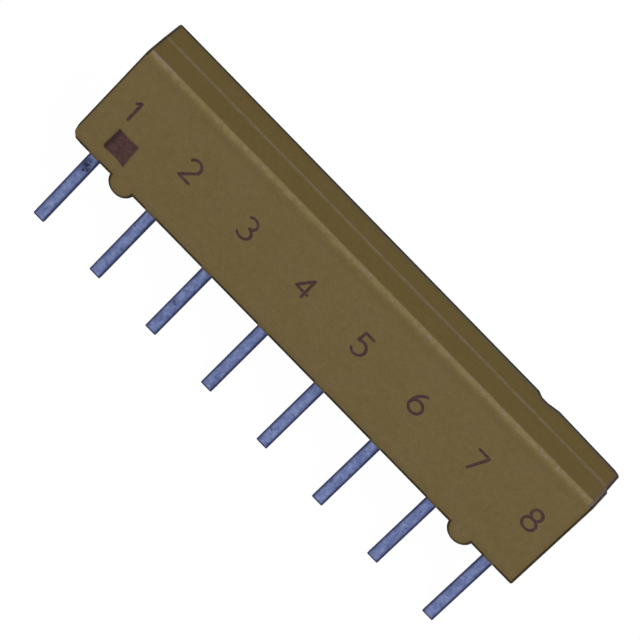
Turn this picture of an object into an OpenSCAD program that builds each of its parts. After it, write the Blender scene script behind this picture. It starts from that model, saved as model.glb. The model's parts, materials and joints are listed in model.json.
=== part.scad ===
// Moulded resistor network in a single-in-line package.
// X runs along the row of leads with lead 1 at -X, the front face looks along -Y and Z points up.
// z = 0 is the seating plane under the two feet, and y = 0 is the parting plane that holds the leads.

/* [Moulded body] */
// Depth of the front half, from the parting plane to the front face
front_t = 1.28; // [1:0.01:2]
// Depth of the back half, from the parting plane to the back face
back_t = 1.19; // [1:0.01:2]
// Height of the front face, without the feet
body_h = 4.31; // [4:0.01:7]
// Centre of an outer lead to the end of the body
end_margin = 1.03; // [0.8:0.01:2]
// Draft of the faces that run away from the parting plane, in degrees
draft = 0.5; // [0:0.1:2]
// Radius of the worn top edge on the front
worn_edge_r = 0.32; // [0.1:0.01:0.5]
// Turn of the worn edge before it meets the top face in a crease, in degrees
worn_edge_turn = 63; // [30:1:80]
// Easing of the top edge at the last lead's end
end_ease = 0.14; // [0.06:0.01:0.3]
// Easing of the other edges
edge_ease = 0.065; // [0.03:0.005:0.1]

/* [Parting line] */
// Width of the flash along the parting line
flash_w = 0.13; // [0.04:0.01:0.16]
// Height of the flash
flash_h = 0.015; // [0.01:0.005:0.06]
// Setback of the back half at the last lead's end
mould_step = 0.06; // [0:0.01:0.15]

/* [Feet] */
// Drop of the feet below the underside
standoff = 0.41; // [0.25:0.01:0.6]
// Radius of the feet
foot_r = 0.52; // [0.4:0.01:0.7]

/* [Worn places] */
// Radius of the rubbed lower corner beside lead 1
chip_r = 0.46; // [0.2:0.02:0.6]
// Start of the nick in the back top edge, from the last lead's end
nick_start = 3.83; // [2:0.01:6]
// Length of the nick
nick_l = 1; // [0.5:0.1:1.5]
// Start of the nick to its floor
nick_run = 0.3; // [0.1:0.05:0.45]
// Length of the nick's floor
nick_floor = 0.25; // [0.1:0.05:0.4]
// Depth of the nick, square to the edge
nick_depth = 0.15; // [0.05:0.01:0.2]
// Depth of the worn edge just past the nick
worn_depth = 0.05; // [0.03:0.01:0.1]
// Depth of the worn edge where its rubbed corner starts
worn_end_depth = 0.1; // [0.03:0.01:0.15]
// Length of the rubbed corner at the last lead's end
rubbed_l = 0.3; // [0.1:0.05:0.5]
// Depth of the rubbed corner
rubbed_depth = 0.17; // [0.1:0.01:0.25]

/* [Leads] */
// Number of leads
lead_count = 8; // [4:2:14]
// Spacing of the leads
lead_pitch = 2.54; // [1.6:0.02:4]
// Width of a lead
lead_w = 0.46; // [0.3:0.01:0.6]
// Thickness of a lead
lead_t = 0.25; // [0.15:0.01:0.35]
// Radius of the tinned edges of a lead
lead_edge_r = 0.05; // [0.02:0.01:0.07]
// Reach of the leads below the seating plane
lead_reach = 3.47; // [2:0.01:6]
// Rise of the middle tips above the outer ones
tip_bow = 0.05; // [0:0.01:0.1]
// Width of the flat head that is soldered to the substrate
head_w = 0.8; // [0.7:0.02:1]
// Height of the flat head
head_h = 0.95; // [0.6:0.05:1.2]
// Corner radius of the flat head
head_r = 0.1; // [0.05:0.01:0.2]

/* [Substrate] */
// Thickness of the ceramic substrate
sub_t = 0.635; // [0.4:0.005:0.7]
// Moulding below the substrate
bottom_cover = 0.62; // [0.4:0.02:0.9]
// Moulding above the substrate
top_cover = 0.45; // [0.2:0.01:0.8]
// Bare edge of the substrate round the lands
land_edge = 0.1; // [0.05:0.01:0.3]

/* [Printed films] */
// Thickness of a fired film
film_t = 0.02; // [0.01:0.005:0.03]
// Margin of a land round the head
land_margin = 0.13; // [0.1:0.01:0.2]
// Width of the conductor that runs from a land up to a resistor
strip_w = 0.5; // [0.3:0.02:0.8]
// Lap of a resistor over its conductors
film_lap = 0.2; // [0.1:0.01:0.25]
// Reach of the glaze past the resistors and conductors
film_cover = 0.18; // [0.1:0.01:0.3]
// Reach of a conductor past its resistor
strip_reach = 0.1; // [0.05:0.01:0.2]
// Bare gap between the lands and the glaze
glaze_gap = 0.12; // [0.05:0.01:0.3]
// Bare edge of the substrate round the glaze
glaze_edge = 0.08; // [0.04:0.01:0.3]
// Width of the trimming cut in a resistor
trim_w = 0.05; // [0.03:0.01:0.08]
// Length of the trimming cut's level run
trim_run = 0.5; // [0.2:0.05:0.8]

/* [Solder] */
// Solder between a head and its land
solder_t = 0.03; // [0.02:0.005:0.06]
// Width of the solder fillet round a head
solder_fillet = 0.11; // [0.05:0.01:0.13]
// Flat lip of the fillet against the head
solder_lip = 0.02; // [0.01:0.005:0.04]

/* [Hidden] */
LEADS = [1 : lead_count];
RESISTORS = [1 : lead_count / 2];

// Body
row_l = (lead_count - 1) * lead_pitch;
body_x = row_l / 2 + end_margin;
under_z = standoff;
top_z = under_z + body_h;
front_rise = front_t * tan(draft);
part_low = under_z - front_rise;
part_high = top_z + front_rise;
part_x = body_x + front_rise;
worn_steps = 8;
chip_flats = 3;
lead_steps = 4;
foot_fn = 96;
// Reach of a cutting shape past what it cuts
cut_over = front_t;

// Substrate and lead heads
land_w = head_w + 2 * land_margin;
land_h = head_h + 2 * land_margin;
sub_x = (row_l + land_w) / 2 + land_edge;
sub_bottom = under_z + bottom_cover;
sub_top = top_z - top_cover;
head_back = lead_t / 2;
sub_front = head_back + solder_t + film_t;
land_front = sub_front - film_t;
resistor_front = land_front - film_t;
glaze_front = resistor_front - film_t;
land_bottom = sub_bottom + land_edge;
land_top = land_bottom + land_h;
head_bottom = land_bottom + land_margin;

// Films on the front of the substrate
glaze_bottom = land_top + glaze_gap;
glaze_top = sub_top - glaze_edge;
strip_top = glaze_top - film_cover;
film_bottom = glaze_bottom + film_cover;
film_top = strip_top - strip_reach;
film_h = film_top - film_bottom;
film_l = lead_pitch - strip_w + 2 * film_lap;
// Share of a resistor's height that its trimming cut crosses, for each resistor in turn
trim_share = [0.55, 0.48, 0.6, 0.52];

function lead_x(i) = (i - 1) * lead_pitch - row_l / 2;

function pair_x(i) = (lead_x(2 * i - 1) + lead_x(2 * i)) / 2;

function arc(centre, r, from, to, steps) =
    [for (k = [0 : steps]) let (a = from + (to - from) * k / steps) centre + r * [cos(a), sin(a)]];

function depth(side) = side < 0 ? front_t : back_t;

// Distance from a drafted corner to the centre of its rounding, along the upright face
function rounding_set(r, turn) = r * (sin(turn) - (1 - cos(turn)) * tan(draft));

// Corner of a section across the parting plane, on the front (-1) or back (1) half.
// The drafted face starts at a peak in the parting plane. up is 1 at the high end and -1 at the low end.
// The points run from the upright face towards the parting plane.
function section_corner(side, up, peak, r, turn, steps) =
    let (drop = depth(side) * tan(draft) + rounding_set(r, turn))
    let (centre = [side * (depth(side) - r), peak - up * drop])
    [for (p = arc([0, 0], r, 0, turn, steps)) centre + [side * p[0], up * p[1]]];

function eased_edge(side, up, peak) = section_corner(side, up, peak, edge_ease, 90 - draft, 1);

function reversed(points) = [for (k = [len(points) - 1 : -1 : 0]) points[k]];

// Section across the parting plane, drafted away from it on both sides.
// The first axis is Y. The second runs from low to high in the parting plane, with its own high end
// on the back half and its own points for the high edge of the front.
function drafted_section(low, high, high_back, front_edge) = concat(
    front_edge,
    [[0, high], [0, high_back]],
    reversed(eased_edge(1, 1, high_back)),
    eased_edge(1, -1, low),
    [[0, low]],
    reversed(eased_edge(-1, -1, low))
);

// Two points on the line that eases a corner of the front outline, well past the corner on both sides
function eased_corner(x, z, side, up, r) = [
    [x + side * cut_over, z - up * (r + cut_over)],
    [x - side * (r + cut_over), z + up * cut_over]
];

// Outline that eases the four corners of the front face and clears its sides
front_easing = concat(
    eased_corner(body_x, top_z, 1, 1, end_ease),
    reversed(eased_corner(-body_x, top_z, -1, 1, edge_ease)),
    eased_corner(-body_x, under_z, -1, -1, edge_ease),
    reversed(eased_corner(body_x, under_z, 1, -1, edge_ease))
);

// Outline of the flash, which stands proud of the top and the underside and ends inside both ends
flash_first = -body_x;
flash_last = body_x - mould_step;
flash_low = part_low - flash_h;
flash_high = part_high + flash_h;
flash_outline = [
    [flash_first + edge_ease, flash_low],
    [flash_first, flash_low + edge_ease],
    [flash_first, flash_high - edge_ease],
    [flash_first + edge_ease, flash_high],
    [flash_last - end_ease, flash_high],
    [flash_last, flash_high - end_ease],
    [flash_last, flash_low + edge_ease],
    [flash_last - edge_ease, flash_low]
];

function rounded_box(w, h, r) = concat(
    arc([w / 2 - r, h / 2 - r], r, 0, 90, lead_steps),
    arc([r - w / 2, h / 2 - r], r, 90, 180, lead_steps),
    arc([r - w / 2, r - h / 2], r, 180, 270, lead_steps),
    arc([w / 2 - r, r - h / 2], r, 270, 360, lead_steps)
);

// Prisms of a drawn outline: along X from a YZ outline, along Y from an XZ outline
module prism_x(points, from, to) {
    translate([from, 0, 0]) rotate([90, 0, 90]) linear_extrude(to - from) polygon(points);
}

module prism_y(points, from, to) {
    translate([0, to, 0]) rotate([90, 0, 0]) linear_extrude(to - from) polygon(points);
}

module block(low, high) {
    translate(low) cube(high - low);
}

// Two drafted mould halves with eased edges
module moulded_block() {
    worn_edge = section_corner(-1, 1, part_high, worn_edge_r, worn_edge_turn, worn_steps);
    side = drafted_section(part_low, part_high, part_high, worn_edge);
    plan = drafted_section(-part_x, part_x, part_x - mould_step, eased_edge(-1, 1, part_x));
    intersection() {
        prism_x(side, -body_x - cut_over, body_x + cut_over);
        translate([0, 0, under_z - cut_over])
            linear_extrude(body_h + 2 * cut_over) polygon([for (p = plan) [p[1], p[0]]]);
        prism_y(front_easing, -front_t - cut_over, back_t + cut_over);
    }
}

// Round foot, as deep as the body, with its rims eased like the body's edges
module foot() {
    translate([0, 0, foot_r]) rotate([90, 0, 0]) rotate_extrude($fn = foot_fn)
        polygon([
            [0, -back_t],
            [foot_r - edge_ease, -back_t],
            [foot_r, edge_ease - back_t],
            [foot_r, front_t - edge_ease],
            [foot_r - edge_ease, front_t],
            [0, front_t]
        ]);
}

// Rubbed corner, in the front half only: a round in a few flats, whose end flats run on past the corner
module corner_chip() {
    flats = arc([chip_r, chip_r], chip_r, 180, 270, chip_flats);
    before = 2 * flats[0] - flats[1];
    after = 2 * flats[chip_flats] - flats[chip_flats - 1];
    middle = [for (k = [1 : chip_flats - 1]) flats[k]];
    translate([-body_x, 0, under_z])
        prism_y(concat([before], middle, [after, [before[0], after[1]]]), -front_t - cut_over, -flash_w / 2);
}

// Nick and worn stretch of the back top edge, cut square to that edge
module worn_back_edge() {
    start = body_x - nick_start;
    translate([0, back_t, top_z]) rotate([45, 0, 0]) translate([0, 0, -cut_over])
        linear_extrude(2 * cut_over) polygon([
            [start, cut_over],
            [start, 0],
            [start + nick_run, -nick_depth],
            [start + nick_run + nick_floor, -nick_depth],
            [start + nick_l, -worn_depth],
            [body_x - rubbed_l, -worn_end_depth],
            [body_x, -rubbed_depth],
            [body_x + cut_over, -rubbed_depth],
            [body_x + cut_over, cut_over]
        ]);
}

module moulded_form() {
    difference() {
        union() {
            moulded_block();
            prism_y(flash_outline, -flash_w / 2, flash_w / 2);
            for (x = [(lead_x(1) + lead_x(2)) / 2, (lead_x(lead_count - 1) + lead_x(lead_count)) / 2])
                translate([x, 0, 0]) foot();
        }
        corner_chip();
        worn_back_edge();
    }
}

// Moulding round the leads, the substrate and all that is on it
module moulded_body() {
    color("#6c5c3d") difference() {
        moulded_form();
        ceramic_substrate();
        glaze_block();
        for (i = LEADS) lead(i);
        for (i = LEADS) land(i);
        for (i = LEADS) solder_block(i);
    }
}

// Stamped lead: a tinned shank with eased edges and a flat head inside the body
module lead(i) {
    reach = lead_reach - tip_bow * (1 - pow(lead_x(i) / lead_x(1), 2));
    color("#6c78a0") translate([lead_x(i), 0, 0]) {
        translate([0, 0, -reach]) linear_extrude(reach + head_bottom + head_h / 2)
            polygon(rounded_box(lead_w, lead_t, lead_edge_r));
        translate([0, 0, head_bottom + head_h / 2])
            prism_y(rounded_box(head_w, head_h, head_r), -lead_t / 2, lead_t / 2);
    }
}

module ceramic_substrate() {
    color("#e8e4da") block([-sub_x, sub_front, sub_bottom], [sub_x, sub_front + sub_t, sub_top]);
}

// Conductor film: a soldering land with a strip that runs up to the resistor
module land(i) {
    color("#b9b9b4") translate([lead_x(i), 0, 0]) {
        block([-land_w / 2, land_front, land_bottom], [land_w / 2, sub_front, land_top]);
        block([-strip_w / 2, land_front, land_bottom], [strip_w / 2, sub_front, strip_top]);
    }
}

// Cut that trims a resistor: down from its top edge, then level along the film
module trim_cut(i) {
    depth = film_h * trim_share[(i - 1) % len(trim_share)];
    turn_z = film_top - depth;
    start_x = pair_x(i) - trim_run / 2;
    front = resistor_front - cut_over;
    back = sub_front + cut_over;
    block([start_x - trim_w / 2, front, turn_z], [start_x + trim_w / 2, back, film_top + cut_over]);
    block([start_x - trim_w / 2, front, turn_z], [start_x + trim_run, back, turn_z + trim_w]);
}

// Resistor film, laid over the ends of its two conductors
module resistor_film(i) {
    color("#1e1d1f") difference() {
        translate([pair_x(i), 0, 0])
            block([-film_l / 2, resistor_front, film_bottom], [film_l / 2, sub_front, film_top]);
        land(2 * i - 1);
        land(2 * i);
        trim_cut(i);
    }
}

module glaze_block() {
    x = sub_x - glaze_edge;
    block([-x, glaze_front, glaze_bottom], [x, sub_front, glaze_top]);
}

// Glass over the resistors and their conductors
module overglaze() {
    color("#2f5d46") difference() {
        glaze_block();
        for (i = LEADS) land(i);
        for (i = RESISTORS) resistor_film(i);
    }
}

// Solder heap on a land, sloped on all four sides up to the middle of the head
module solder_block(i) {
    base = solder_fillet;
    lip = solder_lip;
    head_top = head_bottom + head_h;
    translate([lead_x(i), 0, 0]) intersection() {
        translate([0, 0, head_bottom - base]) linear_extrude(head_h + 2 * base) polygon([
            [-head_w / 2 - base, land_front],
            [-head_w / 2 - lip, 0],
            [head_w / 2 + lip, 0],
            [head_w / 2 + base, land_front]
        ]);
        prism_x([
            [land_front, head_bottom - base],
            [0, head_bottom - lip],
            [0, head_top + lip],
            [land_front, head_top + base]
        ], -head_w / 2 - base, head_w / 2 + base);
    }
}

module solder_joint(i) {
    color("#c9c9c4") difference() {
        solder_block(i);
        lead(i);
    }
}

moulded_body();
ceramic_substrate();
overglaze();
for (i = LEADS) lead(i);
for (i = LEADS) land(i);
for (i = LEADS) solder_joint(i);
for (i = RESISTORS) resistor_film(i);
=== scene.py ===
"""Looks of a moulded resistor network: the finish of each surface, its ink, the studio light and the camera.

Sizes and places are in millimetres in the part's own frame. They become metres when a mesh, a lamp or the
camera is made. Colours are linear, and angles are in degrees.
"""

import json
import math
import random

import bmesh
import bpy
from mathutils import Matrix, Vector, noise

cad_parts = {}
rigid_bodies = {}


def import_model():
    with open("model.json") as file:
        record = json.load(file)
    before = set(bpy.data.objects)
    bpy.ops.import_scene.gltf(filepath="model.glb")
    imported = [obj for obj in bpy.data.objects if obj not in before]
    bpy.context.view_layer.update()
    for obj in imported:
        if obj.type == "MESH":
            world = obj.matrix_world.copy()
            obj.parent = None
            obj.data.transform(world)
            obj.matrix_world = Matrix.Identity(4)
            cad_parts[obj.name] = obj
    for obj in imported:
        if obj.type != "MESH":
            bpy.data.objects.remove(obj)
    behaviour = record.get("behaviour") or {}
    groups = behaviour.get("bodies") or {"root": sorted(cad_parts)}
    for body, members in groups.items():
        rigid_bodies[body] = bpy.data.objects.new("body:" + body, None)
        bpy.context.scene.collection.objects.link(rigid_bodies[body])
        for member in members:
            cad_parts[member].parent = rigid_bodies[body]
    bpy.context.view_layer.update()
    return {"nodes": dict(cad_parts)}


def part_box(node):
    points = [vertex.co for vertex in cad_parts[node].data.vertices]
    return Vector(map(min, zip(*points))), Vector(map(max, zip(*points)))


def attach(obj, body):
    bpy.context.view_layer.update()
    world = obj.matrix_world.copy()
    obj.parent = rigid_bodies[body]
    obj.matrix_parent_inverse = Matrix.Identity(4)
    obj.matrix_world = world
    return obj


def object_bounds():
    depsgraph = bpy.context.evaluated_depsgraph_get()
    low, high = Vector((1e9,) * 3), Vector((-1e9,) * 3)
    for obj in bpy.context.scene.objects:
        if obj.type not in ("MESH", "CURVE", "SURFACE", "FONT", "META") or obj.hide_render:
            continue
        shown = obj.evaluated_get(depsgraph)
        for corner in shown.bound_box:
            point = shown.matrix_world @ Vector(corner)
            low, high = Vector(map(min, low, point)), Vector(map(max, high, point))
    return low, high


MM = 0.001
WHITE = (1, 1, 1, 1)

# How names end: a NOISE holds its features in a millimetre, its detail, its roughness and its stretch.
# A STEP holds where a value starts and ends to count, and what it gives there if not 0 and 1.
# A REACH holds where a band starts and where it is full, from the face, edge or middle that it follows.
NOISE_MEAN = 0.5

# Camera
CAMERA_PLACE = (1.338, -156.813, 104.77)
CAMERA_LENS = 335.17
CAMERA_SENSOR = 36.0
CAMERA_ELEVATION = 33.386
CAMERA_HEADING = 0.571
CAMERA_ROLL = 45.367
CAMERA_CLIP = (10.0, 10000.0)

# Light
KEY_ELEVATION = 40.0
KEY_HEADING = 14.0
KEY_DISTANCE = 450.0
KEY_SIZE = 240.0
KEY_LEVEL = 0.66
AMBIENT_LEVEL = 0.4

# Floor: it shows as white, with FLOOR_SHADE as the share of its lit surface, which holds the shadow
FLOOR_SIZE = 1200.0
FLOOR_SHADE = 0.06
FLOOR_GLOW = 1.03
FLOOR_COLOUR = (0.8, 0.8, 0.8, 1)

# Body: forms that its box doesn't give. It stands off on round feet. Its faces rise towards the parting line,
# which carries a flash over the top, and at the last end its back half is set in.
LEAD_COUNT = 8
STANDOFF = 0.41
FOOT_R = 0.52
BACK_SET_IN = 0.06
PART_RISE = 0.011
FLASH_H = 0.015
FLASH_RISE = PART_RISE + FLASH_H

# Wear of the back top edge: the distance from the last end, and how far in the edge lies there
BACK_WEAR = ((3.83, 0.0), (3.53, 0.147), (3.28, 0.147), (2.83, 0.006), (0.3, 0.076), (0.0, 0.175))

# Epoxy
OLIVE = (0.147, 0.1085, 0.0416, 1)
OLIVE_WARM = (0.151, 0.1085, 0.0459, 1)
# The top's tint is painted shade: it makes the top darker and less blue than the front
TOP_PAINTED_SHADE = (0.908, 0.873, 0.682, 1)
TOP_REACH = (-0.02, -0.01)
PATCH_NOISE = (0.9, 4)
PATCH_STEP = (0.35, 0.65)
GRAIN_NOISE = (20, 4, 0.65)
GRAIN_STEP = (0.25, 0.75, 0.91, 1.09)
RUB_NOISE = (4.5, 5, 0.7)
RUB_STEP = (0.3, 0.7, 0.96, 1.04)
EPOXY_ROUGHNESS_STEP = (0.2, 0.8, 0.48, 0.66)
EPOXY_SPECULAR = 0.05
EPOXY_BUMP = 0.006

# Worn front edge of the top: pale wear with a painted highlight over it, and a crest of painted highlight
# that is greyest near the first end
WORN_H = 0.285
WORN_RUN = 0.13
WORN_FADE = 0.12
WORN_WANDER = 0.22
WORN_HIGHLIGHT_OLIVE = (0.208, 0.156, 0.066, 1)
CREST_HIGHLIGHT_GREY = (0.218, 0.171, 0.131, 1)
WORN_NOISE = (4.5, 4, 0.7)
WORN_STEP = (0.3, 0.65, 0.7, 1.0)
WORN_FRONT_REACH = (WORN_RUN + WORN_FADE, WORN_RUN)
WORN_TOP_REACH = (-0.64 * WORN_H, -0.04 * WORN_H)
# Painted highlight: the band just below the worn edge is lightened a little
HIGHLIGHT_TOP_REACH = (-1.4 * WORN_H, -1.2 * WORN_H)
HIGHLIGHT_LEVELS = (1.0, 1.015)
FLECK_SLOPE = 0.005
FLECK_NOISE = (7, 3, 0.6, (0.7, 1, 1))
FLECK_STEP = (0.49, 0.73)
CREST_TOP_REACH = (-0.42 * WORN_H, -0.2 * WORN_H)
FIRST_CREST_REACH = (1.8, 0.6)
FIRST_CREST_TOP_REACH = (-0.25 * WORN_H, 0.0)

# Pale places: the flash, pale of itself and with a painted highlight, a painted highlight along the top of
# the last end, and a painted bluish reflection on the rim of the back top edge
FLASH_PALE_HIGHLIGHT = (0.18, 0.139, 0.075, 1)
# The flash's pale paint is moved a little in front of its middle, where it also lifts the shade before the
# flash
FLASH_MIDDLE = -0.022
FLASH_REACH = (0.1, 0.065)
FLASH_NOISE = (2.5, 5, 0.7)
FLASH_STEP = (0.3, 0.6, 0.35, 1.0)
END_PAINTED_HIGHLIGHT = (0.128, 0.093, 0.086, 1)
END_STRIP_REACH = (-0.21, -0.15)
END_STRIP_STEP = (0.35, 0.55, 0.5, 1.0)
BACK_PAINTED_REFLECTION = (0.107, 0.097, 0.062, 1)
BACK_RIM_REACH = (0.3, 0.18)
BACK_RIM_TOP_REACH = (-0.1, -0.05)
# Where the rim starts and is full along the row, in shares of half the body's length
BACK_RIM_SHARES = (-0.5, -0.2)

# Painted shade along the edges: a dark band that is bluish on the back, and a soft shade beside it
EDGE_PAINTED_SHADE = (0.016, 0.013, 0.006, 1)
BACK_PAINTED_SHADE = (0.017, 0.016, 0.022, 1)
BACK_SHADE_STEP = (0.3, 0.6)
EDGE_SHADE_STEP = (0.3, 0.6, 0.7, 0.95)
EDGE_SHADE_REACH = (0.105, 0.08)
SHADE_REACH = (0.32, 0.1)
SHADE_LEVELS = (1.0, 0.925)
UNSHADED_FRONT_REACH = (4.5 * WORN_RUN, 3.5 * WORN_RUN)
UNSHADED_TOP_REACH = (-WORN_H, -0.5 * WORN_H)
UNSHADED_END_REACH = (-0.08, -0.105)

# How much each distance counts for the painted edge shade: it lies wider where a share is small
END_SHARE = 1.12
FIRST_END_SHARE = 1.6
FACE_SHARE = 0.56
TOP_SHARE = 0.5
LOW_SHARE = 0.75
FOOT_SHARE = 0.93

# Faces and halves of the body that the painted edge shade differs on, and its level where it is faint
FAINT_LEVEL = 0.35
FRONT_FACE_REACH = (0.1, 0.05)
BACK_FACE_REACH = (-0.06, -0.03)
END_FACE_REACH = (-0.02, -0.012)
OVER_LEAD_REACH = (0.26, 0.2)
OVER_LEAD_LOW_REACH = (0.3, 0.2)
BEFORE_MIDDLE_STEP = (0.01, -0.01)
PAST_MIDDLE_STEP = (0.0, 0.01)

# Tinned leads: painted shade at their tips and along their sides, which LEAD_SKEW makes wider towards the
# last end and LEAD_ROOT_STEP deeper near the body. LEAD_FLAT_STEP paints the flat a little darker towards the
# sides
TIN = (0.124, 0.158, 0.33, 1)
TIN_PALE = (0.2, 0.243, 0.438, 1)
TIN_PAINTED_SHADE = (0.021, 0.027, 0.084, 1)
TIN_STAIN = (0.03, 0.035, 0.09, 1)
TIN_FLECK = (0.27, 0.32, 0.5, 1)
STREAK_NOISE = (6, 4, 0.6, (1, 1, 0.5))
STREAK_STEP = (0.32, 0.68)
SPOT_NOISE = (11, 4, 0.65)
SPOT_STEP = (0.25, 0.75, 0.75, 1.2)
TIN_FLECK_NOISE = (6, 2, 0.55, (1, 1, 0.7))
PALE_FLECK_STEP = (0.66, 0.76, 0.0, 0.8)
DARK_FLECK_STEP = (0.36, 0.26, 0.0, 0.6)
LEAD_SKEW = 0.006
LEAD_FLAT_STEP = (0.06, 0.14, 1.0, 0.9)
LEAD_SIDE_STEP = (0.115, 0.215)
LEAD_ROOT_STEP = (-1.4, -0.5, 0.0, 0.012)
LEAD_TIP_REACH = (0.08, 0.02)
TIN_ROUGHNESS_STEP = (0.2, 0.8, 0.32, 0.55)
TIN_BUMP = 0.006

# Ink
INK = (0.082, 0.04, 0.036, 1)
INK_DARK = (0.05, 0.025, 0.026, 1)
INK_RIM = (0.028, 0.013, 0.013, 1)
INK_T = 0.004
INK_SINK = 0.002
INK_SPACING = 0.03
INK_NOISE = (9, 5, 0.7)
INK_STEP = (0.35, 0.65)
INK_GRAIN_NOISE = (24, 3, 0.6)
INK_GRAIN_STEP = (0.25, 0.75, 0.8, 1.2)
INK_ROUGHNESS_STEP = (0.2, 0.8, 0.5, 0.68)
INK_SPECULAR = 0.08
INK_BUMP = 0.004

# Lead numbers: the section of a stroke is given in half widths and as a rise from the face
PEN_W = 0.12
PEN_WANDER = 0.2
PEN_WAVES = 5
PEN_SEED = 7.3
PEN_BLUNT = 0.06
PEN_SECTION = ((1, INK_SINK), (0.8, -0.6 * INK_T), (0, -INK_T), (-0.8, -0.6 * INK_T), (-1, INK_SINK))
NUMERAL_H = 0.86
NUMERAL_BASE = 2.3
NUMERAL_MIDDLE = 0.3
ARC_TURN = 15
ARC_LEAST = 4

# Square mark: its corners from the upper one at the first end on, by distance from the middle of lead 1
# and by height, and how far each side bows in at its middle
MARK_CORNERS = ((-0.035, 1.975), (0.925, 1.985), (0.985, 0.9), (0.06, 0.935), (-0.07, 1.035))
MARK_BOWS = (0.035, 0.025, 0.06, 0.0, 0.0)
# A bow is a parabola along its side, which this factor brings to its full depth in the middle
PARABOLA = 4
MARK_WANDER = 0.022
MARK_WAVES = 4
MARK_SEED = 2.1
MARK_SEED_GAP = 9
MARK_FADE_STEP = (0.0, 0.09)
MARK_RIM_STEP = (0.26, 0.12, 0.0, 0.8)

# Residue on lead 1, in specks on a stain
SPECK_SEED = 5
SPECK_COUNT = 16
SPECK_MIDDLE = 0.035
SPECK_TOP = -0.42
SPECK_RUN = 0.66
SPECK_SPREAD = 0.08
SPECK_R = (0.014, 0.046)
SPECK_T = 0.006
SPECK_SECTION = ((1, INK_SINK), (0.9, -SPECK_T / 2), (0.5, -SPECK_T))
SPECK_SIDES = 9
SPECK_UNEVEN = 0.3
SPECK_WAVES = 9
SPECK_BLACK = (0.008, 0.009, 0.02, 1)
SPECK_BLUE = (0.03, 0.034, 0.075, 1)
SPECK_NOISE = (30, 3)
SPECK_STEP = (0.4, 0.6)
SPECK_ROUGHNESS_STEP = (0.2, 0.8, 0.5, 0.8)
SPECK_SPECULAR = 0.2
SPECK_BUMP = 0.004
STAIN_PLACE = (-0.05, -0.7)
STAIN_SIZE = (0.44, 0.95)
STAIN_STEP = (1.0, 0.2)
STAIN_SPOT_STEP = (0.3, 0.55)
STAIN_FACE_STEP = (-0.06, -0.1)

# Layers inside the body, grained between two tones and clouded over this many grains
CLOUD_GRAINS = 8
LAYER_STEP = (0.3, 0.7)
CLOUD_STEP = (0.3, 0.7, 0.92, 1.06)
LAYER_BUMP = 0.004
LAYER_DETAIL = (4, 0.6)
LAYER_ROUGHNESS_STEP = (0.2, 0.8)
LAYER_ROUGHNESS_SHARES = (0.8, 1.2)
LAYERS = {
    "ceramic_substrate": dict(
        name="alumina", dark=(0.7, 0.67, 0.6, 1), pale=(0.84, 0.81, 0.75, 1), grains=30,
        roughness=0.6,
    ),
    "land": dict(
        name="conductor_film", dark=(0.4, 0.39, 0.37, 1), pale=(0.56, 0.55, 0.53, 1), grains=40,
        roughness=0.42, metallic=1.0,
    ),
    "resistor_film": dict(
        name="resistor_film", dark=(0.01, 0.009, 0.01, 1), pale=(0.022, 0.02, 0.021, 1), grains=40,
        roughness=0.55,
    ),
    "overglaze": dict(
        name="glaze", dark=(0.022, 0.09, 0.05, 1), pale=(0.04, 0.13, 0.075, 1), grains=12,
        roughness=0.2, coat=0.5,
    ),
    "solder_joint": dict(
        name="solder", dark=(0.5, 0.5, 0.48, 1), pale=(0.64, 0.64, 0.6, 1), grains=25,
        roughness=0.3, metallic=1.0,
    ),
}


def clear_scene():
    for thing in list(bpy.data.objects):
        bpy.data.objects.remove(thing)


def lead_middle(number):
    """Place of a lead along the row."""
    low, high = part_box(f"lead_{number}")
    return (low.x + high.x) / 2 / MM


class Nodes:
    """A node tree, with short calls for the nodes that the finishes and the light share."""

    def __init__(self, tree):
        self.tree = tree
        self.tree.nodes.clear()

    def add(self, kind, inputs=None, **settings):
        """Adds a node with these settings, and links or sets these inputs."""
        node = self.tree.nodes.new(kind)
        for key, setting in settings.items():
            setattr(node, key, setting)
        for key, given in (inputs or {}).items():
            if isinstance(given, bpy.types.NodeSocket):
                self.tree.links.new(given, node.inputs[key])
            else:
                node.inputs[key].default_value = given
        return node

    def calc(self, operation, *values):
        return self.add("ShaderNodeMath", dict(enumerate(values)), operation=operation).outputs[0]

    def join(self, operation, *values):
        """Takes the values together one by one, such as for a product of several."""
        result = values[0]
        for value in values[1:]:
            result = self.calc(operation, result, value)
        return result

    def total(self, *values):
        return self.join("ADD", *values)

    def product(self, *values):
        return self.join("MULTIPLY", *values)

    def least(self, *values):
        return self.join("MINIMUM", *values)

    def most(self, *values):
        return self.join("MAXIMUM", *values)

    def less(self, first, second):
        return self.calc("SUBTRACT", first, second)

    def absolute(self, value):
        return self.calc("ABSOLUTE", value)

    def length(self, first, second):
        """Length of a line with these two sides."""
        return self.calc("SQRT", self.total(self.product(first, first), self.product(second, second)))

    def ramp(self, value, low, high, to_low=0.0, to_high=1.0, kind="SMOOTHSTEP"):
        """Step of a value from low to high, smooth unless another kind is asked for."""
        sockets = {"Value": value, "From Min": low, "From Max": high, "To Min": to_low, "To Max": to_high}
        return self.add("ShaderNodeMapRange", sockets, interpolation_type=kind).outputs[0]

    def beside(self, value, edge, reach, *levels):
        """Step of a value over a reach from an edge."""
        return self.ramp(value, edge + reach[0], edge + reach[1], *levels)


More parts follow.
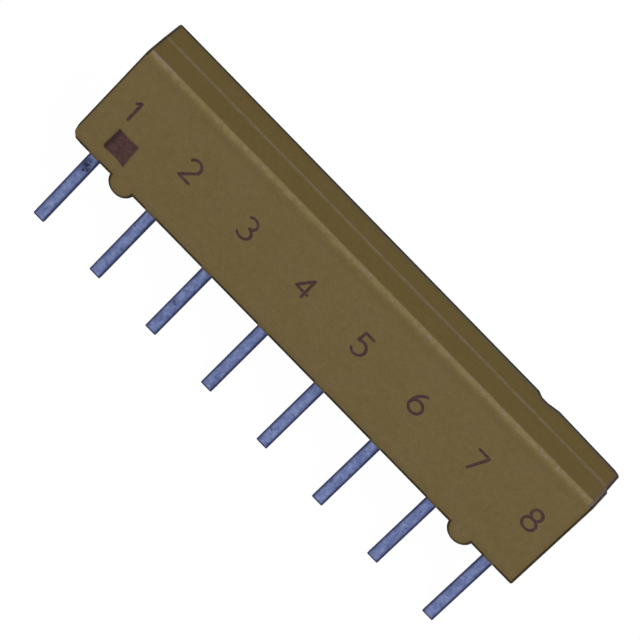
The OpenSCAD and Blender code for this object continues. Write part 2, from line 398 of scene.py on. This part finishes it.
class Finish(Nodes):
    """A procedural material that knows each place on the part."""

    def __init__(self, name):
        self.material = bpy.data.materials.new(name)
        self.material.use_nodes = True
        super().__init__(self.material.node_tree)
        sockets = {0: self.add("ShaderNodeTexCoord").outputs["Object"], "Scale": 1 / MM}
        self.place = self.add("ShaderNodeVectorMath", sockets, operation="SCALE").outputs[0]
        self.x, self.y, self.z = self.add("ShaderNodeSeparateXYZ", {0: self.place}).outputs[:3]

    def noise(self, scale, detail=3.0, roughness=0.55, stretch=None):
        """Noise with this many features a millimetre."""
        place = self.place
        if stretch:
            place = self.add("ShaderNodeVectorMath", {0: place, 1: stretch}, operation="MULTIPLY").outputs[0]
        sockets = {"Vector": place, "Scale": scale, "Detail": detail, "Roughness": roughness}
        return self.add("ShaderNodeTexNoise", sockets).outputs[0]

    def blend(self, factor, first, second):
        sockets = {0: factor, 6: first, 7: second}
        return self.add("ShaderNodeMix", sockets, data_type="RGBA").outputs[2]

    def tinted(self, factor, colour, tint):
        sockets = {0: factor, 6: colour, 7: tint}
        return self.add("ShaderNodeMix", sockets, data_type="RGBA", blend_type="MULTIPLY").outputs[2]

    def scaled(self, colour, value):
        return self.add("ShaderNodeVectorMath", {0: colour, "Scale": value}, operation="SCALE").outputs[0]

    def bump(self, height, depth):
        return self.add("ShaderNodeBump", {"Height": height, "Distance": depth * MM}).outputs[0]

    def surface(self, sockets):
        shader = self.add("ShaderNodeBsdfPrincipled", sockets)
        self.close(shader.outputs[0])
        return self.material

    def close(self, shader):
        self.add("ShaderNodeOutputMaterial", {"Surface": shader})


class Moulding(Finish):
    """Finish of the moulding, which knows where the body's faces are."""

    def __init__(self, name):
        super().__init__(name)
        low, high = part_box("moulded_body")
        self.front, self.back = low.y / MM, high.y / MM
        self.top = high.z / MM - FLASH_RISE
        self.end = high.x / MM - PART_RISE


def lead_offset(f):
    """Distance along the row from the middle of the nearest lead, below zero towards lead 1."""
    pitch = lead_middle(2) - lead_middle(1)
    from_first = f.less(f.x, lead_middle(1) - pitch / 2)
    return f.less(f.calc("FLOORED_MODULO", from_first, pitch), pitch / 2)


def back_distance(f):
    """Distance from the back edge of the top, which is worn in from the nick to the last end."""
    steps = []
    for (first, depth), (last, next_depth) in zip(BACK_WEAR, BACK_WEAR[1:]):
        steps.append(f.ramp(f.x, f.end - first, f.end - last, 0.0, next_depth - depth, "LINEAR"))
    return f.less(f.less(f.back, f.total(*steps)), f.y)


def edge_distance(f):
    """Distance from a point on the moulding's surface to the nearest edge, the rims of the feet included.

    A point on a face has no distance to that face, so of its three distances the middle one is to an edge.
    Each distance counts by a share, so that the painted shade lies wider along some edges than along others.
    """
    foot_x = (lead_middle(LEAD_COUNT - 1) + lead_middle(LEAD_COUNT)) / 2
    across = f.absolute(f.x)
    from_axis = f.length(f.less(across, foot_x), f.less(f.z, FOOT_R))
    set_in = f.product(f.ramp(f.y, *PAST_MIDDLE_STEP), f.ramp(f.x, *PAST_MIDDLE_STEP), BACK_SET_IN)
    first_front = f.product(f.ramp(f.x, *BEFORE_MIDDLE_STEP), f.beside(f.y, f.front, FRONT_FACE_REACH))
    end_share = f.ramp(first_front, 0.0, 1.0, END_SHARE, FIRST_END_SHARE)
    to_end = f.product(f.less(f.less(f.end, set_in), across), end_share)
    to_face = f.product(f.least(f.less(f.y, f.front), back_distance(f)), FACE_SHARE)
    to_foot = f.product(f.less(FOOT_R, from_axis), FOOT_SHARE)
    to_low = f.most(f.product(f.less(f.z, STANDOFF), LOW_SHARE), to_foot)
    to_level = f.least(to_low, f.product(f.less(f.top, f.z), TOP_SHARE))
    return f.most(f.least(to_end, to_face), f.least(f.most(to_end, to_face), to_level))


def painted_edge_band(f, distance):
    """Painted shade in dark bands along the edges, faint on the back, on the ends and over the leads."""
    band = f.ramp(distance, *EDGE_SHADE_REACH)
    on_back = f.beside(f.y, f.back, BACK_FACE_REACH)
    on_end = f.beside(f.absolute(f.x), f.end, END_FACE_REACH)
    over_lead = f.product(
        f.ramp(f.absolute(lead_offset(f)), *OVER_LEAD_REACH),
        f.beside(f.z, STANDOFF, OVER_LEAD_LOW_REACH),
    )
    return f.product(band, f.ramp(f.most(on_back, on_end, over_lead), 0.0, 1.0, 1.0, FAINT_LEVEL))


def epoxy(f, grain, rub, at_front):
    """Olive in two tones with a fine grain, and darker and less blue on the top, which is painted shade."""
    patches = f.noise(*PATCH_NOISE)
    colour = f.blend(f.ramp(patches, *PATCH_STEP), OLIVE, OLIVE_WARM)
    colour = f.scaled(colour, f.ramp(grain, *GRAIN_STEP))
    colour = f.scaled(colour, f.ramp(rub, *RUB_STEP))
    on_top = f.product(f.less(1.0, at_front), f.beside(f.z, f.top, TOP_REACH))
    return f.tinted(on_top, colour, TOP_PAINTED_SHADE)


def worn_edge_highlight(f, colour, at_front):
    """Pale wear and a painted highlight on the front edge of the top, with painted grey highlight flecks
    along its crest.
    """
    # Painted highlight over the wear: a slight lift below, the pale worn band, and grey flecks on its crest
    colour = f.scaled(colour, f.beside(f.z, f.top, HIGHLIGHT_TOP_REACH, *HIGHLIGHT_LEVELS))
    wear = f.noise(*WORN_NOISE)
    uneven_z = f.calc("MULTIPLY_ADD", f.less(wear, NOISE_MEAN), WORN_WANDER, f.z)
    worn = f.product(at_front, f.beside(uneven_z, f.top, WORN_TOP_REACH))
    colour = f.blend(f.product(worn, f.ramp(wear, *WORN_STEP)), colour, WORN_HIGHLIGHT_OLIVE)
    flecks = f.calc("MULTIPLY_ADD", f.x, FLECK_SLOPE, f.noise(*FLECK_NOISE))
    crest = f.product(at_front, f.ramp(flecks, *FLECK_STEP), f.beside(f.z, f.top, CREST_TOP_REACH))
    first_crest = f.product(
        f.beside(f.x, -f.end, FIRST_CREST_REACH),
        f.beside(f.z, f.top, FIRST_CREST_TOP_REACH),
        at_front,
    )
    return f.blend(f.most(crest, first_crest), colour, CREST_HIGHLIGHT_GREY)


def pale_and_highlit_places(f, colour, rub):
    """Pale flash, partly painted highlight, a painted highlight atop the last end, and a painted reflection
    on the back top rim.
    """
    # Flash: pale of itself, and painted highlight over the shade in front of it
    on_flash = f.ramp(f.absolute(f.less(f.y, FLASH_MIDDLE)), *FLASH_REACH)
    flash_cover = f.ramp(f.noise(*FLASH_NOISE), *FLASH_STEP)
    colour = f.blend(f.product(on_flash, flash_cover), colour, FLASH_PALE_HIGHLIGHT)
    # Painted highlight along the top of the last end
    on_end_highlight = f.product(
        f.beside(f.x, f.end, END_STRIP_REACH),
        f.beside(f.z, f.top, END_STRIP_REACH),
    )
    colour = f.blend(f.product(on_end_highlight, f.ramp(rub, *END_STRIP_STEP)), colour, END_PAINTED_HIGHLIGHT)
    # Painted bluish reflection on the rim of the back top edge
    on_back_reflection = f.product(
        f.ramp(back_distance(f), *BACK_RIM_REACH),
        f.beside(f.z, f.top, BACK_RIM_TOP_REACH),
        f.ramp(f.x, *[share * f.end for share in BACK_RIM_SHARES]),
    )
    return f.blend(on_back_reflection, colour, BACK_PAINTED_REFLECTION)


def edge_shading(f, colour, rub):
    """Painted shade along every edge but the worn one: a dark band and a soft shade beside it."""
    distance = edge_distance(f)
    # Painted shade: dark bands at the edges, bluish towards the back, and a soft darkening beside them,
    # except on the worn edge
    edge_shade_colour = f.blend(f.ramp(f.y, *BACK_SHADE_STEP), EDGE_PAINTED_SHADE, BACK_PAINTED_SHADE)
    unshaded = f.product(
        f.beside(f.y, f.front, UNSHADED_FRONT_REACH),
        f.beside(f.z, f.top, UNSHADED_TOP_REACH),
        f.beside(f.absolute(f.x), f.end, UNSHADED_END_REACH),
    )
    edge_shaded = f.less(1.0, unshaded)
    shade = f.product(edge_shaded, f.ramp(distance, *SHADE_REACH))
    colour = f.scaled(colour, f.ramp(shade, 0.0, 1.0, *SHADE_LEVELS))
    return f.blend(f.product(painted_edge_band(f, distance), edge_shaded, f.ramp(rub, *EDGE_SHADE_STEP)), colour, edge_shade_colour)


def moulding_finish():
    """Olive epoxy, finely grained, pale on the worn edge and the flash, partly as painted highlight, and with
    painted shade along its other edges.
    """
    f = Moulding("moulding")
    grain = f.noise(*GRAIN_NOISE)
    rub = f.noise(*RUB_NOISE)
    at_front = f.beside(f.y, f.front, WORN_FRONT_REACH)
    colour = epoxy(f, grain, rub, at_front)
    colour = worn_edge_highlight(f, colour, at_front)
    colour = pale_and_highlit_places(f, colour, rub)
    return f.surface({
        "Base Color": edge_shading(f, colour, rub),
        "Roughness": f.ramp(grain, *EPOXY_ROUGHNESS_STEP),
        "Specular IOR Level": EPOXY_SPECULAR,
        "Normal": f.bump(f.total(grain, rub), EPOXY_BUMP),
    })


def stain_cover(f, spots):
    """Uneven oval stain under the residue, on the front of lead 1."""
    from_middle = f.length(
        f.product(f.less(f.x, lead_middle(1) + STAIN_PLACE[0]), 2 / STAIN_SIZE[0]),
        f.product(f.less(f.z, STAIN_PLACE[1]), 2 / STAIN_SIZE[1]),
    )
    return f.product(
        f.ramp(from_middle, *STAIN_STEP),
        f.ramp(spots, *STAIN_SPOT_STEP),
        f.ramp(f.y, *STAIN_FACE_STEP),
    )


def tip_height(f):
    """Height of the leads' tips, which follow a shallow curve from the outer leads to the middle ones."""
    outer_tip, middle_tip = [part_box(f"lead_{number}")[0].z / MM for number in (1, LEAD_COUNT // 2)]
    along = f.product(f.x, 1 / lead_middle(1))
    return f.calc("MULTIPLY_ADD", f.product(along, along), outer_tip - middle_tip, middle_tip)


def tinned_finish():
    """Bluish tinned copper, mottled along its length, with painted shade on its eased sides and at its tip.
    """
    f = Finish("tinned_lead")
    streaks = f.noise(*STREAK_NOISE)
    spots = f.noise(*SPOT_NOISE)
    colour = f.blend(f.ramp(streaks, *STREAK_STEP), TIN, TIN_PALE)
    colour = f.scaled(colour, f.ramp(spots, *SPOT_STEP))
    flecks = f.noise(*TIN_FLECK_NOISE)
    colour = f.blend(f.ramp(flecks, *PALE_FLECK_STEP), colour, TIN_FLECK)
    colour = f.blend(f.ramp(flecks, *DARK_FLECK_STEP), colour, TIN_STAIN)
    across = f.absolute(f.total(lead_offset(f), LEAD_SKEW))
    # Painted shade: the flat darkens towards the sides, and the sides and the tip go dark
    colour = f.scaled(colour, f.ramp(across, *LEAD_FLAT_STEP))
    side = f.total(across, f.ramp(f.z, *LEAD_ROOT_STEP))
    at_tip = f.ramp(f.less(f.z, tip_height(f)), *LEAD_TIP_REACH)
    colour = f.blend(f.most(f.ramp(side, *LEAD_SIDE_STEP), at_tip), colour, TIN_PAINTED_SHADE)
    return f.surface({
        "Base Color": f.blend(stain_cover(f, spots), colour, TIN_STAIN),
        "Metallic": 1.0,
        "Roughness": f.ramp(spots, *TIN_ROUGHNESS_STEP),
        "Normal": f.bump(f.total(spots, streaks), TIN_BUMP),
    })


def mark_sides():
    """Start, end and bow of each side of the square mark, from its top side on."""
    corners = [(lead_middle(1) + x, z) for x, z in MARK_CORNERS]
    return list(zip(corners, corners[1:] + corners[:1], MARK_BOWS))


def side_distance(f, start, end, bow):
    """Distance on the front face from a side that bows in between two places, above zero inside it."""
    start, run = Vector(start), Vector(end) - Vector(start)
    x, z = f.less(f.x, start.x), f.less(f.z, start.y)
    inward = Vector((run.y, -run.x)).normalized()
    straight = f.total(f.product(x, inward.x), f.product(z, inward.y))
    step = run / run.length_squared
    share = f.total(f.product(x, step.x), f.product(z, step.y))
    return f.less(straight, f.product(share, f.less(1.0, share), PARABOLA * bow))


def ink_finish(name, fades=False):
    """Stamped ink, dense in places and thin in others. The ink of the mark fades out towards its sides."""
    f = Finish(name)
    dense = f.noise(*INK_NOISE)
    grain = f.noise(*INK_GRAIN_NOISE)
    colour = f.blend(f.ramp(dense, *INK_STEP), INK, INK_DARK)
    colour = f.scaled(colour, f.ramp(grain, *INK_GRAIN_STEP))
    if fades:
        sides = [side_distance(f, *side) for side in mark_sides()]
        first_end_side = sides[-1]
        colour = f.blend(f.ramp(first_end_side, *MARK_RIM_STEP), colour, INK_RIM)
        inside = f.product(*[f.ramp(side, *MARK_FADE_STEP) for side in sides])
        colour = f.blend(inside, OLIVE, colour)
    return f.surface({
        "Base Color": colour,
        "Roughness": f.ramp(grain, *INK_ROUGHNESS_STEP),
        "Specular IOR Level": INK_SPECULAR,
        "Normal": f.bump(grain, INK_BUMP),
    })


def residue_finish():
    """Black and bluish lumps."""
    f = Finish("residue")
    lumps = f.noise(*SPECK_NOISE)
    return f.surface({
        "Base Color": f.blend(f.ramp(lumps, *SPECK_STEP), SPECK_BLACK, SPECK_BLUE),
        "Roughness": f.ramp(lumps, *SPECK_ROUGHNESS_STEP),
        "Specular IOR Level": SPECK_SPECULAR,
        "Normal": f.bump(lumps, SPECK_BUMP),
    })


def layer_finish(name, dark, pale, grains, roughness, metallic=0.0, coat=0.0):
    """A fired or soldered layer inside the body, with this many grains a millimetre."""
    f = Finish(name)
    grain = f.noise(grains, *LAYER_DETAIL)
    cloud = f.noise(grains / CLOUD_GRAINS)
    colour = f.scaled(f.blend(f.ramp(grain, *LAYER_STEP), dark, pale), f.ramp(cloud, *CLOUD_STEP))
    levels = [share * roughness for share in LAYER_ROUGHNESS_SHARES]
    return f.surface({
        "Base Color": colour,
        "Metallic": metallic,
        "Coat Weight": coat,
        "Roughness": f.ramp(grain, *LAYER_ROUGHNESS_STEP, *levels),
        "Normal": f.bump(grain, LAYER_BUMP),
    })


def dress_nodes(nodes):
    """Gives each node of the part its finish."""
    finishes = {"moulded_body": moulding_finish(), "lead": tinned_finish()}
    for kind, look in LAYERS.items():
        finishes[kind] = layer_finish(**look)
    for name, node in nodes.items():
        kind = name.rstrip("0123456789").rstrip("_")
        node.data.materials.clear()
        node.data.materials.append(finishes[kind])


def arc(x, z, rx, rz, start, end):
    """Points of an elliptic arc, with angles from +x towards +z."""
    steps = max(ARC_LEAST, round(abs(end - start) / ARC_TURN))
    angles = [math.radians(start + (end - start) * k / steps) for k in range(steps + 1)]
    return [(x + rx * math.cos(a), z + rz * math.sin(a)) for a in angles]


def numeral_strokes():
    """Pen strokes of the lead numbers, each in a box 0.6 wide and 1 high."""
    return {
        1: [[(0.1, 0.78), (0.3, 1.0), (0.3, 0.0)]],
        2: [arc(0.3, 0.72, 0.27, 0.28, 165, -35) + [(0.03, 0.0), (0.6, 0.0)]],
        3: [arc(0.27, 0.76, 0.25, 0.24, 150, -90), arc(0.27, 0.27, 0.3, 0.27, 85, -150)],
        4: [[(0.44, 0.0), (0.44, 1.0), (0.0, 0.3), (0.62, 0.3)]],
        5: [[(0.55, 1.0), (0.1, 1.0), (0.06, 0.57)] + arc(0.28, 0.32, 0.29, 0.32, 125, -150)],
        6: [arc(0.6, 0.32, 0.59, 0.68, 105, 180), arc(0.3, 0.29, 0.29, 0.29, 180, -210)],
        7: [[(0.02, 1.0), (0.6, 1.0), (0.2, 0.0)]],
        8: [arc(0.3, 0.76, 0.23, 0.24, 90, -300), arc(0.3, 0.27, 0.29, 0.27, 90, -300)],
    }


def spaced(points, step):
    """Points at an even spacing along a run of straight lines."""
    result = []
    for start, end in zip(points, points[1:]):
        start, end = Vector(start), Vector(end)
        count = max(1, round((end - start).length / step))
        result += [start.lerp(end, k / count) for k in range(count)]
    return result + [Vector(points[-1])]


def add_ring(bm, places):
    return [bm.verts.new(Vector(p) * MM) for p in places]


def join_rings(bm, rings):
    """Skins a row of rings and closes both ends."""
    for first, second in zip(rings, rings[1:]):
        for k in range(len(first)):
            n = (k + 1) % len(first)
            bm.faces.new((first[k], first[n], second[n], second[k]))
    bm.faces.new(reversed(rings[0]))
    bm.faces.new(rings[-1])


def draw_stroke(bm, points, front):
    """Lays one stroke of ink on the front face: a low domed ribbon with round ends and an uneven width."""
    line = spaced(points, INK_SPACING)
    lengths = [0.0]
    for a, b in zip(line, line[1:]):
        lengths.append(lengths[-1] + (b - a).length)
    rings = []
    for k, point in enumerate(line):
        ahead = line[min(k + 1, len(line) - 1)] - line[max(k - 1, 0)]
        side = Vector((-ahead.y, ahead.x)).normalized()
        wander = noise.noise(Vector((point.x, PEN_SEED, point.y)) * PEN_WAVES)
        half = PEN_W / 2 * (1 + PEN_WANDER * wander)
        to_end = min(lengths[k], lengths[-1] - lengths[k])
        if to_end < half:
            half *= math.sqrt(max(PEN_BLUNT, 1 - (1 - to_end / half) ** 2))
        rings.append(add_ring(bm, [
            (point.x + side.x * half * share, front + rise, point.y + side.y * half * share)
            for share, rise in PEN_SECTION
        ]))
    join_rings(bm, rings)


def new_piece(name, bm, finish):
    """Turns a mesh under way into a piece of the part."""
    bmesh.ops.recalc_face_normals(bm, faces=bm.faces)
    mesh = bpy.data.meshes.new(name)
    bm.to_mesh(mesh)
    bm.free()
    mesh.materials.append(finish)
    piece = bpy.data.objects.new(name, mesh)
    bpy.context.scene.collection.objects.link(piece)
    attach(piece, "root")


def lead_numbers(front, finish):
    """A number above each lead, printed on the front."""
    for number, strokes in numeral_strokes().items():
        left = lead_middle(number) - NUMERAL_MIDDLE * NUMERAL_H
        bm = bmesh.new()
        for stroke in strokes:
            points = [(left + x * NUMERAL_H, NUMERAL_BASE + z * NUMERAL_H) for x, z in stroke]
            draw_stroke(bm, points, front)
        new_piece(f"lead_number_{number}", bm, finish)


def mark_outline():
    """Places along the sides of the square mark."""
    outline = []
    for start, end, bow in mark_sides():
        start, run = Vector(start), Vector(end) - Vector(start)
        inward = Vector((run.y, -run.x)).normalized()
        count = round(run.length / INK_SPACING)
        for share in [k / count for k in range(count)]:
            outline.append(start + run * share + inward * bow * PARABOLA * share * (1 - share))
    return outline


def lead_mark(front, finish):
    """Square mark beside lead 1, with the uneven outline of a stamp and sides that bow in a little."""
    outline = []
    for point in mark_outline():
        seed = Vector((point.x, MARK_SEED, point.y)) * MARK_WAVES
        other_seed = seed + Vector((0, MARK_SEED_GAP, 0))
        outline.append(point + Vector((noise.noise(seed), noise.noise(other_seed))) * MARK_WANDER)
    bm = bmesh.new()
    rings = []
    for rise in (INK_SINK, -INK_T):
        rings.append(add_ring(bm, [(point.x, front + rise, point.y) for point in outline]))
    join_rings(bm, rings)
    bmesh.ops.poke(bm, faces=[face for face in bm.faces if len(face.verts) > 4])
    new_piece("lead_1_mark", bm, finish)


def lead_specks(finish):
    """Dark specks of residue down the front of lead 1, thickest in the middle of their run."""
    draw = random.Random(SPECK_SEED)
    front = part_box("lead_1")[0].y / MM
    bm = bmesh.new()
    for _ in range(SPECK_COUNT):
        x = lead_middle(1) + SPECK_MIDDLE + draw.uniform(-1, 1) * SPECK_SPREAD
        z = SPECK_TOP - draw.triangular(0, 1) * SPECK_RUN
        radius = draw.uniform(*SPECK_R)
        rings = []
        for share, rise in SPECK_SECTION:
            ring = []
            for k in range(SPECK_SIDES):
                turn = math.tau * k / SPECK_SIDES
                seed = Vector((x * SPECK_WAVES + math.cos(turn), z * SPECK_WAVES, math.sin(turn)))
                reach = radius * share * (1 + SPECK_UNEVEN * noise.noise(seed))
                ring.append((x + reach * math.cos(turn), front + rise, z + reach * math.sin(turn)))
            rings.append(add_ring(bm, ring))
        join_rings(bm, rings)
    new_piece("lead_1_residue", bm, finish)


def ray_is_seen(f):
    """1 for the camera's own rays and for those that metal and glass send on, and 0 for light that lands."""
    path = f.add("ShaderNodeLightPath").outputs
    return f.most(path["Is Camera Ray"], path["Is Glossy Ray"], path["Is Transmission Ray"])


def pale_floor():
    """White floor under the tips of the leads, with a faint shadow."""
    level = Matrix.Translation((0, 0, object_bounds()[0].z))
    half = FLOOR_SIZE / 2 * MM
    bm = bmesh.new()
    bmesh.ops.create_grid(bm, x_segments=1, y_segments=1, size=half, matrix=level)
    mesh = bpy.data.meshes.new("floor")
    bm.to_mesh(mesh)
    bm.free()
    floor = bpy.data.objects.new("floor", mesh)
    bpy.context.scene.collection.objects.link(floor)
    f = Finish("floor")
    lit = f.add("ShaderNodeBsdfDiffuse", {"Color": FLOOR_COLOUR}).outputs[0]
    white = f.add("ShaderNodeEmission", {"Color": WHITE, "Strength": FLOOR_GLOW}).outputs[0]
    share = f.product(ray_is_seen(f), 1 - FLOOR_SHADE)
    f.close(f.add("ShaderNodeMixShader", {0: share, 1: lit, 2: white}).outputs[0])
    mesh.materials.append(f.material)


def aim(thing, place, elevation, heading, roll=0.0):
    """Puts a lamp or camera at a place, looking down by elevation and turned by heading and roll."""
    turn = Matrix.Rotation(math.radians(heading), 4, "Z")
    tilt = Matrix.Rotation(math.radians(90 - elevation), 4, "X")
    spin = Matrix.Rotation(math.radians(roll), 4, "Z")
    thing.matrix_world = Matrix.Translation(Vector(place) * MM) @ turn @ tilt @ spin


def direction(elevation, heading):
    """Unit vector from the part towards a lamp that looks down by elevation, turned by heading."""
    e, h = math.radians(elevation), math.radians(heading)
    return Vector((math.sin(h) * math.cos(e), -math.cos(h) * math.cos(e), math.sin(e)))


def soft_key():
    """Large soft lamp near the camera. A small lamp of its power lights a white card to the key's level."""
    lamp = bpy.data.lights.new("key", "AREA")
    lamp.shape = "SQUARE"
    lamp.size = KEY_SIZE * MM
    lamp.energy = KEY_LEVEL * math.pi ** 2 * (KEY_DISTANCE * MM) ** 2
    key = bpy.data.objects.new("key", lamp)
    bpy.context.scene.collection.objects.link(key)
    aim(key, direction(KEY_ELEVATION, KEY_HEADING) * KEY_DISTANCE, KEY_ELEVATION, KEY_HEADING)


def studio_world():
    """Even light from all sides, which shows as white."""
    world = bpy.data.worlds.new("studio")
    bpy.context.scene.world = world
    world.use_nodes = True
    f = Nodes(world.node_tree)
    level = f.ramp(ray_is_seen(f), 0.0, 1.0, AMBIENT_LEVEL, 1.0, "LINEAR")
    light = f.add("ShaderNodeBackground", {"Color": WHITE, "Strength": level}).outputs[0]
    f.add("ShaderNodeOutputWorld", {"Surface": light})


def photo_camera():
    """Long lens from the front and above, turned so that the row of leads runs down to the right."""
    lens = bpy.data.cameras.new("camera")
    lens.lens = CAMERA_LENS
    lens.sensor_width = CAMERA_SENSOR
    lens.clip_start, lens.clip_end = [limit * MM for limit in CAMERA_CLIP]
    camera = bpy.data.objects.new("camera", lens)
    bpy.context.scene.collection.objects.link(camera)
    aim(camera, CAMERA_PLACE, CAMERA_ELEVATION, CAMERA_HEADING, CAMERA_ROLL)
    bpy.context.scene.camera = camera


clear_scene()
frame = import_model()
bpy.context.scene.view_settings.view_transform = "Standard"

front_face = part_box("moulded_body")[0].y / MM
dress_nodes(frame["nodes"])
lead_numbers(front_face, ink_finish("ink"))
lead_mark(front_face, ink_finish("mark", fades=True))
lead_specks(residue_finish())
pale_floor()
soft_key()
studio_world()
photo_camera()
